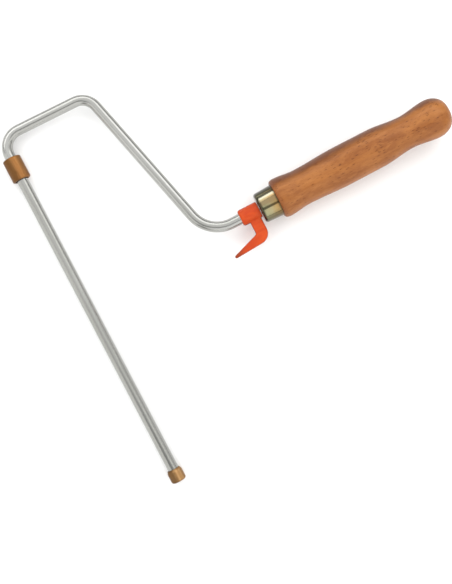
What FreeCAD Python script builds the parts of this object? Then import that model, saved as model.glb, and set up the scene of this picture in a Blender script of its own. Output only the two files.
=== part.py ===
"""Paint roller frame: a bent steel rod with two free-turning bushes that carry the roller cover,
a turned wooden handle with a drawn ferrule, and a swivelling hook for the rim of a bucket.

Units are millimetres.  +X runs along the handle towards its butt, +Y runs along the roller spindle
towards the bend, +Z is square to the plane of the frame.  The origin is the centre of the
footprint on the surface that the frame lies on.
"""
import FreeCAD, Part
import math
import os

V = FreeCAD.Vector

# ---- driving dimensions: rod ----
rod_d = 8.0                  # drawn wire, plated
spindle_length = 261.8       # bend-side face of the inner bush to the closed end of the tip bush
spindle_offset = 16.0        # handle axis to the middle of the spindle
crank_width = 69.2           # spindle axis to the corner over the sloping run
crank_fall = 1.4             # how far the crank drops between its two corners
neck_start = 100.9           # spindle axis to the corner where the rod meets the handle axis
spindle_bend_r = 13.4        # bend radii on the rod's centreline
crank_bend_r = 13.0
neck_bend_r = 24.0
bend_gap = 2.7               # straight rod between the inner bush and the first bend
neck_straight = 6.5          # straight rod between the last bend and the hook
tang_depth = 76.0            # how far the rod reaches behind the ferrule's front face
tang_flat_length = 14.0      # coined end that keeps the rod from turning in the wood
tang_spread = 1.3            # width of the coined end as a share of the rod's diameter
tang_squeeze = 0.65          # its thickness, the same way
tang_point_length = 6.0
tang_point_width = 1.2
rod_end_chamfer = 0.8

# ---- driving dimensions: bushes and their snap rings ----
inner_bush_wall = 2.75       # rod to the outside of the bush
inner_bush_length = 17.2
inner_bush_round = 1.0       # radius of both outer rims
tip_bush_wall = 1.6          # rod to the outside of the bush
tip_bush_length = 9.8
tip_bush_end = 1.5           # thickness of the closed end
tip_bush_lead_length = 2.0   # cone round the mouth
tip_bush_lead_depth = 0.9
tip_bush_round = 1.6         # radius of the outer rim at the closed end
ring_wire_d = 0.9
ring_groove_depth = 0.35
ring_opening = 3.0           # gap between the two ends of a ring
counterbore_depth = 2.0
running_clearance = 0.05     # radial, between a turning piece and the rod
axial_clearance = 0.15       # end float of a turning piece
groove_clearance = 0.05      # each side of a ring in its groove
ring_clearance = 0.4         # radial, between a ring and the recess that turns round it

# ---- driving dimensions: hook ----
collar_wall = 2.1            # rod to the outside of the collar
collar_length = 15.0
collar_round = 1.8
hook_gap = 0.4               # between the hook's collar and the ferrule
hook_thickness = 5.2
stem_width = 8.6
stem_setback = 1.4           # ferrule end of the collar to the back of the stem
hook_drop = 22.9             # rod axis to the lower edge of the beak at its heel
beak_reach = 31.1            # ferrule end of the collar to the tip of the beak
beak_root_height = 7.8       # height of the beak where it leaves the stem
beak_tip_fall = 1.3          # how far the lower edge drops on its way to the tip
beak_tip_height = 2.1
heel_round = 8.0             # outside radius where the stem turns into the beak
throat_round = 1.6           # inside radius of the throat
hook_edge_round = 0.7

# ---- driving dimensions: ferrule ----
ferrule_length = 14.2
ferrule_front_d = 22.6
ferrule_taper = 1.2          # how much wider it is where it meets the handle
ferrule_wall = 0.8
ferrule_rim_round = 2.2
ferrule_hole_clearance = 0.2

# ---- driving dimensions: handle ----
handle_length = 139.4        # face that meets the ferrule to the butt
shoulder_d = 29.8
shoulder_setback = 4.4       # front face to the widest round of the shoulder
shoulder_face_d = 26.4
front_waist_d = 26.9
front_waist_setback = 20.0
belly_d = 29.4
belly_front_share = 0.377    # where the belly is fullest, as a share of the handle's length
belly_rear_share = 0.569     # how far back it stays nearly as full
belly_rear_d = 29.1
rear_waist_d = 24.5
rear_waist_to_butt = 34.4
knob_d = 29.1
knob_to_butt = 13.4
butt_flat_d = 12.0           # the nearly flat middle of the rounded butt
butt_crown = 0.9             # how far that middle stands proud of its rim
tenon_chamfer = 1.0

# ---- worked-out sizes ----
rod_r = rod_d / 2
bore_r = rod_r + running_clearance
ferrule_back_d = ferrule_front_d + ferrule_taper
inner_bush_r = rod_r + inner_bush_wall
tip_bush_r = rod_r + tip_bush_wall
collar_r = rod_r + collar_wall
crank_slope = math.atan2(crank_fall, crank_width)


def bend_tangent(radius, turn):
    """Length of straight rod that a bend takes from each side of its corner."""
    return radius * math.tan(turn / 2)


spindle_turn = math.pi / 2 + crank_slope
inner_face_y = spindle_length / 2 - spindle_offset
tip_face_y = -spindle_length / 2 - spindle_offset
crank_y = inner_face_y + bend_gap + bend_tangent(spindle_bend_r, spindle_turn)
crank_end_y = crank_y - crank_fall
slope_angle = math.atan2(crank_end_y, neck_start - crank_width)
crank_turn = slope_angle - crank_slope
neck_turn = slope_angle
collar_start_x = neck_start + bend_tangent(neck_bend_r, neck_turn) + neck_straight
collar_end_x = collar_start_x + collar_length
ferrule_x = collar_end_x + hook_gap
shoulder_x = ferrule_x + ferrule_length
butt_x = shoulder_x + handle_length

# The frame is centred over its footprint and lies on its widest round, the shoulder or the belly.
bend_top_y = inner_face_y + bend_gap + spindle_bend_r + rod_r
left_x = -max(inner_bush_r, tip_bush_r)
centre = V(
    (left_x + butt_x) / 2,
    (bend_top_y + tip_face_y) / 2,
    -max(shoulder_d, belly_d, knob_d) / 2,
)


# A ring's wire follows a circle just clear of the floor of its groove in the rod.
ring_centre_r = rod_r - ring_groove_depth + groove_clearance + ring_wire_d / 2
recess_r = ring_centre_r + ring_wire_d / 2 + ring_clearance
groove_width = ring_wire_d + 2 * groove_clearance
ring_y = {
    "inner_bush_ring_bend_side":
        inner_face_y - counterbore_depth + axial_clearance + groove_width / 2,
    "inner_bush_ring_tip_side":
        inner_face_y - inner_bush_length + counterbore_depth - axial_clearance - groove_width / 2,
    "tip_bush_ring": tip_face_y + tip_bush_length / 2,
}
rod_tip_y = tip_face_y + tip_bush_end + axial_clearance
tang_flat_x = ferrule_x + tang_depth - tang_flat_length - tang_point_length


def turned(outline, axis_point, axis):
    """Solid of revolution of a closed outline of edges."""
    return Part.Face(Part.Wire(outline)).revolve(axis_point, axis, 360)


def polygon(points):
    """Straight edges round a closed outline."""
    return Part.makePolygon(points + [points[0]]).Edges


def bar(x, y, direction, radius, length):
    """Round bar that starts at (x, y) in the plane of the frame."""
    return Part.makeCylinder(radius, length, V(x, y, 0), direction)


def rounded(outline, start, middle, end):
    """The outline with the straight edge between start and end bent through middle."""
    arc = Part.Arc(start, middle, end).toShape()
    return [arc if e.CenterOfMass.isEqual((start + end) / 2, 1e-6) else e for e in outline]


# ---- frame rod ----
def rod_path():
    """Centreline from the tip to the end of the tang: straight runs joined by tangent arcs."""
    corners = [
        (V(0, crank_y, 0), spindle_bend_r),
        (V(crank_width, crank_end_y, 0), crank_bend_r),
        (V(neck_start, 0, 0), neck_bend_r),
    ]
    start = V(0, rod_tip_y, 0)
    end = V(tang_flat_x, 0, 0)
    points = [start] + [corner for corner, radius in corners] + [end]
    edges = []
    here = start
    for i, (corner, radius) in enumerate(corners):
        back = (points[i] - corner).normalize()
        ahead = (points[i + 2] - corner).normalize()
        half = back.getAngle(ahead) / 2
        first = corner + back * (radius / math.tan(half))
        last = corner + ahead * (radius / math.tan(half))
        towards_centre = (back + ahead).normalize()
        middle = corner + towards_centre * (radius / math.sin(half) - radius)
        edges.append(Part.LineSegment(here, first).toShape())
        edges.append(Part.Arc(first, middle, last).toShape())
        here = last
    edges.append(Part.LineSegment(here, end).toShape())
    return Part.Wire(edges)


def tang_section(x, width, thickness):
    """Rectangle across the tang at one place along it."""
    sides = [(-1, -1), (1, -1), (1, 1), (-1, 1)]
    return Part.Wire(polygon([V(x, y * width / 2, z * thickness / 2) for y, z in sides]))


def tang_anchor():
    """Coined flat and its point, which stop the rod from turning in the wood."""
    width = rod_d * tang_spread
    thickness = rod_d * tang_squeeze
    point_x = tang_flat_x + tang_flat_length
    sections = [
        tang_section(tang_flat_x, width, thickness),
        tang_section(point_x, width, thickness),
        tang_section(point_x + tang_point_length, tang_point_width, tang_point_width),
    ]
    return Part.makeLoft(sections, True, True)


def make_frame_rod():
    path = rod_path()
    profile = Part.Wire(Part.makeCircle(rod_r, V(0, rod_tip_y, 0), V(0, 1, 0)))
    rod = path.makePipeShell([profile], True, True)
    tip_edges = [e for e in rod.Edges if e.BoundBox.YMax < rod_tip_y + 0.01]
    rod = rod.makeChamfer(rod_end_chamfer, tip_edges)
    for y in ring_y.values():
        low = y - groove_width / 2
        around = bar(0, low, V(0, 1, 0), rod_r + ring_wire_d, groove_width)
        core = bar(0, low, V(0, 1, 0), rod_r - ring_groove_depth, groove_width)
        rod = rod.cut(around.cut(core))
    return rod.fuse(tang_anchor()).removeSplitter()


# ---- bushes and rings ----
def make_inner_bush():
    """Plain bearing with a recess in each end that hides a snap ring."""
    low = inner_face_y - inner_bush_length
    q = inner_bush_round
    slant = q * (1 - math.sqrt(0.5))
    r = inner_bush_r
    corners = [
        V(bore_r, low + counterbore_depth, 0),
        V(recess_r, low + counterbore_depth, 0),
        V(recess_r, low, 0),
        V(r - q, low, 0),
        V(r, low + q, 0),
        V(r, inner_face_y - q, 0),
        V(r - q, inner_face_y, 0),
        V(recess_r, inner_face_y, 0),
        V(recess_r, inner_face_y - counterbore_depth, 0),
        V(bore_r, inner_face_y - counterbore_depth, 0),
    ]
    outline = polygon(corners)
    outline = rounded(outline, corners[3], V(r - slant, low + slant, 0), corners[4])
    outline = rounded(outline, corners[5], V(r - slant, inner_face_y - slant, 0), corners[6])
    return turned(outline, V(0, 0, 0), V(0, 1, 0))


def make_tip_bush():
    """Closed cap that turns on the end of the rod, with a groove inside for its snap ring."""
    r = tip_bush_r
    q = tip_bush_round
    slant = q * (1 - math.sqrt(0.5))
    mouth = tip_face_y + tip_bush_length
    half_groove = groove_width / 2 + axial_clearance
    ring = ring_y["tip_bush_ring"]
    corners = [
        V(0, tip_face_y, 0),
        V(r - q, tip_face_y, 0),
        V(r, tip_face_y + q, 0),
        V(r, mouth - tip_bush_lead_length, 0),
        V(r - tip_bush_lead_depth, mouth, 0),
        V(bore_r, mouth, 0),
        V(bore_r, ring + half_groove, 0),
        V(recess_r, ring + half_groove, 0),
        V(recess_r, ring - half_groove, 0),
        V(bore_r, ring - half_groove, 0),
        V(bore_r, tip_face_y + tip_bush_end, 0),
        V(0, tip_face_y + tip_bush_end, 0),
    ]
    outline = polygon(corners)
    outline = rounded(outline, corners[1], V(r - slant, tip_face_y + slant, 0), corners[2])
    return turned(outline, V(0, 0, 0), V(0, 1, 0))


def make_ring(y):
    """Open snap ring of round wire."""
    ring = Part.makeTorus(ring_centre_r, ring_wire_d / 2, V(0, y, 0), V(0, 1, 0))
    opening = Part.makeBox(
        ring_opening, 2 * ring_wire_d, rod_d,
        V(-ring_opening / 2, y - ring_wire_d, -rod_d),
    )
    return ring.cut(opening)


# ---- hook ----
def make_bucket_hook():
    """Collar that turns on the rod, with a flat stem and a beak that points at the spindle."""
    back = collar_end_x - stem_setback
    front = back - stem_width
    tip_x = collar_end_x - beak_reach
    tip_low = -hook_drop - beak_tip_fall
    tip_top = tip_low + beak_tip_height
    root_top = -hook_drop + beak_root_height
    throat_slope = math.atan2(root_top - tip_top, front - tip_x)
    corner = V(front, root_top, 0)
    reach = throat_round / math.tan((math.pi / 2 + throat_slope) / 2)
    into_beak = V(-math.cos(throat_slope), -math.sin(throat_slope), 0)
    beak_start = corner + into_beak * reach
    stem_start = corner + V(0, reach, 0)
    half_turn = (math.pi / 2 + throat_slope) / 2
    inward = (into_beak + V(0, 1, 0)).normalize()
    throat_mid = corner + inward * (throat_round / math.sin(half_turn) - throat_round)
    heel = V(back - heel_round, -hook_drop + heel_round, 0)
    heel_mid = heel + V(math.sqrt(0.5), -math.sqrt(0.5), 0) * heel_round
    heel_bottom = V(heel.x, -hook_drop, 0)
    heel_side = V(back, heel.y, 0)
    tip_round = beak_tip_height / 2
    tip_upper = V(tip_x + tip_round, tip_top, 0)
    tip_end = V(tip_x, tip_low + tip_round, 0)
    tip_lower = V(tip_x + tip_round, tip_low, 0)
    edges = [
        Part.LineSegment(V(front, 0, 0), stem_start).toShape(),
        Part.Arc(stem_start, throat_mid, beak_start).toShape(),
        Part.LineSegment(beak_start, tip_upper).toShape(),
        Part.Arc(tip_upper, tip_end, tip_lower).toShape(),
        Part.LineSegment(tip_lower, heel_bottom).toShape(),
        Part.Arc(heel_bottom, heel_mid, heel_side).toShape(),
        Part.LineSegment(heel_side, V(back, 0, 0)).toShape(),
        Part.LineSegment(V(back, 0, 0), V(front, 0, 0)).toShape(),
    ]
    blade = Part.Face(Part.Wire(edges)).extrude(V(0, 0, hook_thickness))
    blade.translate(V(0, 0, -hook_thickness / 2))
    rims = [e for e in blade.Edges if abs(abs(e.CenterOfMass.z) - hook_thickness / 2) < 0.01]
    rims = [e for e in rims if e.BoundBox.YMin < -collar_r / 2]
    blade = blade.makeFillet(hook_edge_round, rims)
    collar = bar(collar_start_x, 0, V(1, 0, 0), collar_r, collar_length)
    front_edge = [e for e in collar.Edges if e.BoundBox.XMax < collar_start_x + 0.01]
    collar = collar.makeFillet(collar_round, front_edge)
    bore = bar(collar_start_x - 1, 0, V(1, 0, 0), bore_r, collar_length + 2)
    return collar.fuse(blade).cut(bore).removeSplitter()


# ---- ferrule ----
def ferrule_radius(x):
    """Outside radius of the ferrule's slight taper."""
    share = (x - ferrule_x) / ferrule_length
    return (ferrule_front_d + ferrule_taper * share) / 2


def make_ferrule():
    """Drawn cup: a tapered wall, a rounded rim, and a front face with a hole for the rod."""
    q = ferrule_rim_round
    inner_q = q - ferrule_wall
    slant = 1 - math.sqrt(0.5)
    hole_r = rod_r + ferrule_hole_clearance
    outer = ferrule_radius(ferrule_x + q)
    inner = outer - ferrule_wall
    back_r = ferrule_back_d / 2
    inside_x = ferrule_x + ferrule_wall
    points = [
        V(ferrule_x, hole_r, 0),
        V(ferrule_x, outer - q, 0),
        V(ferrule_x + q, outer, 0),
        V(shoulder_x, back_r, 0),
        V(shoulder_x, back_r - ferrule_wall, 0),
        V(ferrule_x + q, inner, 0),
        V(inside_x, inner - inner_q, 0),
        V(inside_x, hole_r, 0),
    ]
    outline = polygon(points)
    outer_mid = V(ferrule_x + q * slant, outer - q * slant, 0)
    inner_mid = V(inside_x + inner_q * slant, inner - inner_q * slant, 0)
    outline = rounded(outline, points[1], outer_mid, points[2])
    outline = rounded(outline, points[5], inner_mid, points[6])
    return turned(outline, V(0, 0, 0), V(1, 0, 0))


# ---- handle ----
def make_handle(rod):
    """Turned grip with a tenon for the ferrule; the rod's tang fills the hole down its middle."""
    stations = [
        (0.0, shoulder_face_d / 2, V(0.25, 1, 0)),
        (shoulder_setback, shoulder_d / 2, V(1, 0, 0)),
        (front_waist_setback, front_waist_d / 2, V(1, 0, 0)),
        (handle_length * belly_front_share, belly_d / 2, V(1, 0, 0)),
        (handle_length * belly_rear_share, belly_rear_d / 2, V(1, 0, 0)),
        (handle_length - rear_waist_to_butt, rear_waist_d / 2, V(1, 0, 0)),
        (handle_length - knob_to_butt, knob_d / 2, V(1, 0, 0)),
        (handle_length - butt_crown, butt_flat_d / 2, V(0.12, -1, 0)),
        (handle_length, 0.0, V(0, -1, 0)),
    ]
    points = [V(shoulder_x + x, r, 0) for x, r, tangent in stations]
    curve = Part.BSplineCurve()
    curve.interpolate(
        Points=points,
        Tangents=[tangent.normalize() for x, r, tangent in stations],
        TangentFlags=[True] * len(points),
        Scale=True,
    )
    tenon_r = ferrule_back_d / 2 - ferrule_wall
    tenon_front = ferrule_x + ferrule_rim_round
    tenon_front_r = ferrule_radius(tenon_front) - ferrule_wall
    inside_x = ferrule_x + ferrule_wall
    chamfer = ferrule_rim_round - ferrule_wall + tenon_chamfer
    inside_face = [
        points[-1],
        V(inside_x, 0, 0),
        V(inside_x, tenon_front_r - chamfer, 0),
        V(tenon_front, tenon_front_r, 0),
        V(shoulder_x, tenon_r, 0),
        points[0],
    ]
    outline = [curve.toShape()] + Part.makePolygon(inside_face).Edges
    grip = turned(outline, V(0, 0, 0), V(1, 0, 0))
    return grip.cut(rod)


def build_pieces():
    """Every piece by its name, in place, with the origin under the middle of the frame."""
    rod = make_frame_rod()
    pieces = {
        "frame_rod": rod,
        "handle": make_handle(rod),
        "ferrule": make_ferrule(),
        "bucket_hook": make_bucket_hook(),
        "inner_bush": make_inner_bush(),
        "tip_bush": make_tip_bush(),
    }
    for name, y in ring_y.items():
        pieces[name] = make_ring(y)
    for shape in pieces.values():
        shape.translate(-centre)
    return pieces


def main():
    os.makedirs("parts", exist_ok=True)
    for name, shape in build_pieces().items():
        shape.exportStep("parts/" + name + ".step")
        print(name, "valid" if shape.isValid() else "broken", round(shape.Volume), "mm3")


main()
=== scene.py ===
import bpy
import bmesh
import math
from mathutils import Vector, Matrix


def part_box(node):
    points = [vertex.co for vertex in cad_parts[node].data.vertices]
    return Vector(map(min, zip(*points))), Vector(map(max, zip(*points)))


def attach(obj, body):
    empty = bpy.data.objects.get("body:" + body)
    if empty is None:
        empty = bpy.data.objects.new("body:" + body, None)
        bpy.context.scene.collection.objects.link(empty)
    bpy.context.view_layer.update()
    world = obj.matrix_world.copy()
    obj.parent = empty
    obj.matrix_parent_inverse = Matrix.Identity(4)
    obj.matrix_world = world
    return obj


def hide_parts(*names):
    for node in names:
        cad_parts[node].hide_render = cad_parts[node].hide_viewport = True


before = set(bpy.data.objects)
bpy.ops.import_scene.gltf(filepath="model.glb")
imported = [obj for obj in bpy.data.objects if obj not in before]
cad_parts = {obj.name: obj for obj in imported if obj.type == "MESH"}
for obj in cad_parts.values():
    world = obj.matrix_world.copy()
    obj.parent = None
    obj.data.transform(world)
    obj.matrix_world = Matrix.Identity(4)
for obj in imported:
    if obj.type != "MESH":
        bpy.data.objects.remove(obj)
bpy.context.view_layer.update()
print("frame loaded:", len(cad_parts), "nodes")

mm = 0.001


def middleOf(node):
    low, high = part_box(node)
    return (low + high) / 2


spindleX = middleOf("inner_bush").x            # the spindle runs along Y at this x
handleY = middleOf("handle").y                 # the handle runs along X at this y
planeZ = middleOf("inner_bush").z              # the rod is bent in this plane


# shared helpers for meshes
def newPiece(name, verts, faces, smooth=True):
    # joins points that meet, and turns every face outwards
    mesh = bpy.data.meshes.new(name)
    mesh.from_pydata([tuple(v) for v in verts], [], faces)
    mesh.update()
    piece = bpy.data.objects.new(name, mesh)
    bpy.context.scene.collection.objects.link(piece)
    bm = bmesh.new()
    bm.from_mesh(mesh)
    bmesh.ops.remove_doubles(bm, verts=bm.verts, dist=1e-7)
    bmesh.ops.recalc_face_normals(bm, faces=bm.faces)
    bm.to_mesh(mesh)
    bm.free()
    for face in mesh.polygons:
        face.use_smooth = smooth
    return piece


def softCorners(corners, steps=6):
    # corners: (a, b, radius) round a closed outline; each corner is swapped for an arc of that radius
    outline = []
    count = len(corners)
    for i, (a, b, radius) in enumerate(corners):
        here = Vector((a, b))
        back = Vector(corners[i - 1][:2]) - here
        ahead = Vector(corners[(i + 1) % count][:2]) - here
        if radius <= 0:
            outline.append(here)
            continue
        back.normalize()
        ahead.normalize()
        half = back.angle(ahead) / 2
        reach = radius / math.tan(half)
        centre = here + (back + ahead).normalized() * (radius / math.sin(half))
        first = here + back * reach - centre
        last = here + ahead * reach - centre
        turn = first.angle_signed(last)
        for k in range(steps + 1):
            spin = Matrix.Rotation(-turn * k / steps, 2)
            outline.append(centre + spin @ first)
    return outline


def latheRound(name, outline, axis, centre, segments=96, wobble=None):
    # outline: closed list of (along, radius); turned round the X or Y axis through centre
    verts, faces = [], []
    count = len(outline)
    for j in range(segments):
        angle = 2 * math.pi * j / segments
        for along, radius in outline:
            if wobble:
                radius = radius * wobble(along, angle)
            a, b = radius * math.cos(angle), radius * math.sin(angle)
            if axis == "X":
                verts.append((along, centre.y + a, centre.z + b))
            else:
                verts.append((centre.x + a, along, centre.z + b))
    for j in range(segments):
        k = (j + 1) % segments
        for i in range(count):
            n = (i + 1) % count
            if outline[i][1] < 1e-9 and outline[n][1] < 1e-9:
                continue
            faces.append((j * count + i, j * count + n, k * count + n, k * count + i))
    return newPiece(name, verts, faces)


def wirePiece(name, verts, faces, along):
    # along: for each point (distance along the wire, place across it, height), which the finish follows
    mesh = bpy.data.meshes.new(name)
    mesh.from_pydata([tuple(v) for v in verts], [], faces)
    mesh.update()
    layer = mesh.attributes.new("alongWire", "FLOAT_VECTOR", "POINT")
    for i, value in enumerate(along):
        layer.data[i].vector = value
    for face in mesh.polygons:
        face.use_smooth = len(face.vertices) == 4                         # the end caps stay flat
    piece = bpy.data.objects.new(name, mesh)
    bpy.context.scene.collection.objects.link(piece)
    return piece


def sweepWire(name, stations, around=48):
    # stations: (point, direction in the plane, half width, half height, distance); closed at both ends
    verts, faces, along = [], [], []
    for point, direction, halfWide, halfHigh, distance in stations:
        side = Vector((0, 0, 1)).cross(direction).normalized()
        for j in range(around):
            angle = 2 * math.pi * j / around
            a, b = math.cos(angle), math.sin(angle)
            verts.append(point + side * (halfWide * a) + Vector((0, 0, halfHigh * b)))
            along.append((distance, halfWide * a, halfHigh * b))
    for i in range(len(stations) - 1):
        for j in range(around):
            k = (j + 1) % around
            faces.append((i * around + j, i * around + k, (i + 1) * around + k, (i + 1) * around + j))
    faces.append(tuple(range(around - 1, -1, -1)))
    last = (len(stations) - 1) * around
    faces.append(tuple(last + j for j in range(around)))
    return wirePiece(name, verts, faces, along)


def finishPiece(piece, body, nodes, material):
    piece.data.materials.clear()
    piece.data.materials.append(material)
    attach(piece, body)
    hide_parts(*nodes)
    print("made", piece.name, len(piece.data.vertices), "points")


def sharpEdges(piece, degrees=40):
    # creases stay crisp, curved faces stay smooth
    bm = bmesh.new()
    bm.from_mesh(piece.data)
    for edge in bm.edges:
        if len(edge.link_faces) == 2:
            edge.smooth = edge.calc_face_angle(0) < math.radians(degrees)
    bm.to_mesh(piece.data)
    bm.free()


# shared helpers for materials
def newMaterial(name):
    look = bpy.data.materials.new(name)
    look.use_nodes = True
    nodes = look.node_tree.nodes
    nodes.clear()
    out = nodes.new("ShaderNodeOutputMaterial")
    shader = nodes.new("ShaderNodeBsdfPrincipled")
    shader.name = "surface"
    join(look, shader.outputs[0], out.inputs["Surface"])
    return look


def addNode(look, kind):
    return look.node_tree.nodes.new("ShaderNode" + kind)


def join(look, source, target):
    look.node_tree.links.new(source, target)


def feed(look, value, socket):
    if isinstance(value, bpy.types.NodeSocket):
        join(look, value, socket)
    else:
        socket.default_value = value


def stretch(look, vector, scale, shift=(0, 0, 0)):
    node = addNode(look, "Mapping")
    node.inputs["Scale"].default_value = scale
    node.inputs["Location"].default_value = shift
    join(look, vector, node.inputs["Vector"])
    return node.outputs[0]


def objectPlace(look, scale=(1, 1, 1), shift=(0, 0, 0)):
    return stretch(look, addNode(look, "TexCoord").outputs["Object"], scale, shift)


def wirePlace(look, scale=(1, 1, 1)):
    layer = addNode(look, "Attribute")
    layer.attribute_name = "alongWire"
    return stretch(look, layer.outputs["Vector"], scale)


def split(look, vector):
    node = addNode(look, "SeparateXYZ")
    join(look, vector, node.inputs[0])
    return node.outputs


def noise(look, place, detail=4.0, rough=0.55, bend=0.0):
    node = addNode(look, "TexNoise")
    join(look, place, node.inputs["Vector"])
    node.inputs["Scale"].default_value = 1
    node.inputs["Detail"].default_value = detail
    node.inputs["Roughness"].default_value = rough
    node.inputs["Distortion"].default_value = bend
    return node.outputs["Fac"]


def cells(look, place):
    node = addNode(look, "TexVoronoi")
    join(look, place, node.inputs["Vector"])
    node.inputs["Scale"].default_value = 1
    return node.outputs


def edgeWear(look):
    return addNode(look, "NewGeometry").outputs["Pointiness"]


def workOut(look, kind, a, b=0.0):
    node = addNode(look, "Math")
    node.operation = kind
    for value, socket in zip((a, b), node.inputs):
        feed(look, value, socket)
    return node.outputs[0]


def times(look, a, b):
    return workOut(look, "MULTIPLY", a, b)


def plus(look, a, b):
    return workOut(look, "ADD", a, b)


def minus(look, a, b):
    return workOut(look, "SUBTRACT", a, b)


def larger(look, a, b):
    return workOut(look, "MAXIMUM", a, b)


def fade(look, value, low, high, newLow=0.0, newHigh=1.0, smooth=True):
    # low and high become newLow and newHigh, with nothing past either
    node = addNode(look, "MapRange")
    node.interpolation_type = "SMOOTHSTEP" if smooth else "LINEAR"
    feed(look, value, node.inputs["Value"])
    node.inputs["From Min"].default_value = low
    node.inputs["From Max"].default_value = high
    node.inputs["To Min"].default_value = newLow
    node.inputs["To Max"].default_value = newHigh
    return node.outputs["Result"]


def band(look, value, start, full, still, end):
    # rises from start to full, falls again from still to end
    return times(look, fade(look, value, start, full), fade(look, value, still, end, 1, 0))


def ramp(look, value, stops):
    node = addNode(look, "ValToRGB")
    join(look, value, node.inputs[0])
    while len(node.color_ramp.elements) < len(stops):
        node.color_ramp.elements.new(0.5)
    for element, (spot, colour) in zip(node.color_ramp.elements, stops):
        element.position = spot
        element.color = (*colour, 1)
    return node.outputs[0]


def blend(look, share, a, b):
    # a where share is 0, b where it is 1
    node = addNode(look, "Mix")
    node.data_type = "RGBA"
    feed(look, share, node.inputs["Factor"])
    for value, socket in ((a, node.inputs[6]), (b, node.inputs[7])):
        feed(look, (*value, 1) if isinstance(value, tuple) else value, socket)
    return node.outputs[2]


def bump(look, height, depth, strength, under=None):
    node = addNode(look, "Bump")
    node.inputs["Strength"].default_value = strength
    node.inputs["Distance"].default_value = depth
    join(look, height, node.inputs["Height"])
    if under:
        join(look, under, node.inputs["Normal"])
    return node.outputs[0]


def setShader(look, **values):
    shader = look.node_tree.nodes["surface"]
    for name, value in values.items():
        feed(look, value, shader.inputs[name.replace("_", " ")])


def tone(red, green, blue):
    # a colour as the eye names it, 0 to 255, turned into light
    def light(value):
        value /= 255
        return value / 12.92 if value <= 0.04045 else ((value + 0.055) / 1.055) ** 2.4
    return (light(red), light(green), light(blue))


# bright plated rod
rodLook = {
    "bright": tone(172, 172, 169),
    "dull": tone(158, 158, 153),
    "speck": tone(108, 105, 98),
    "tintedZone": tone(132, 132, 127),
    "roughness": (0.18, 0.26),
    # fineness of each pattern: along the wire, then across it twice
    "lines": (5, 1400, 1400),
    "broadLines": (12, 380, 380),
    "cloud": (60, 160, 160),
    "specks": (420, 900, 900),
    "speckPatches": (150, 240, 240),
    "lineDepth": 0.002 * mm,
    "cloudDepth": 0.01 * mm,
    "darkerSpindleFrom": 236 * mm,       # the spindle is darker grey up to about here
    "darkerSpindleTo": 262 * mm,
}


def platedWire():
    look = newMaterial("platedWire")
    r = rodLook
    lines = noise(look, wirePlace(look, r["lines"]), 3, 0.6)           # drawn lines down the wire
    broad = noise(look, wirePlace(look, r["broadLines"]), 3, 0.5)
    cloud = noise(look, wirePlace(look, r["cloud"]), 4, 0.6)           # uneven plating
    specks = cells(look, wirePlace(look, r["specks"]))["Distance"]
    few = fade(look, noise(look, wirePlace(look, r["speckPatches"]), 2), 0.58, 0.66)
    speck = times(look, fade(look, specks, 0.08, 0.20, 1, 0), few)
    drawn = plus(look, times(look, lines, 0.5), times(look, broad, 0.5))
    base = blend(look, fade(look, drawn, 0.36, 0.66), r["dull"], r["bright"])
    base = blend(look, times(look, fade(look, cloud, 0.5, 0.75), 0.3), base, r["dull"])
    base = blend(look, times(look, speck, 0.6), base, r["speck"])
    # darker grey along the spindle, fading out towards its top
    tintedZone = fade(look, split(look, wirePlace(look))[0], r["darkerSpindleFrom"], r["darkerSpindleTo"], 1, 0)
    base = blend(look, times(look, tintedZone, 0.22), base, r["tintedZone"])
    smoothest, roughest = r["roughness"]
    rough = fade(look, drawn, 0.3, 0.7, roughest, smoothest, False)
    rough = plus(look, rough, times(look, cloud, 0.05))
    dents = bump(look, cloud, r["cloudDepth"], 0.06, bump(look, lines, r["lineDepth"], 0.12))
    setShader(look, Base_Color=base, Metallic=1.0, Roughness=rough, Normal=dents)
    return look


rodSizes = {
    "diameter": 8.0 * mm,
    "crankWidth": 69.2 * mm,
    "crankFall": 1.4 * mm,
    "neckStart": 100.9 * mm,
    "spindleBend": 13.4 * mm,
    "crankBend": 13.0 * mm,
    "neckBend": 24.0 * mm,
    "bendOval": 0.012,            # how far the wire flattens inside a bend
    "tipChamfer": 0.8 * mm,
    "grooveDepth": 0.35 * mm,
    "grooveRoom": 0.05 * mm,      # each side of a ring
    "grooveEdge": 0.001 * mm,     # a groove's wall leans by this much
    "tangStart": 0.4 * mm,
    "tangFlat": 14.0 * mm,
    "tangPoint": 6.0 * mm,
    "tangSpread": 1.3,            # width and thickness of the coined end, and both at its point,
    "tangSqueeze": 0.65,          # as shares of the rod's
    "tangTip": 0.15,
    "bendStep": 2.5,              # degrees
    "longestStep": 6 * mm,
}


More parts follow.
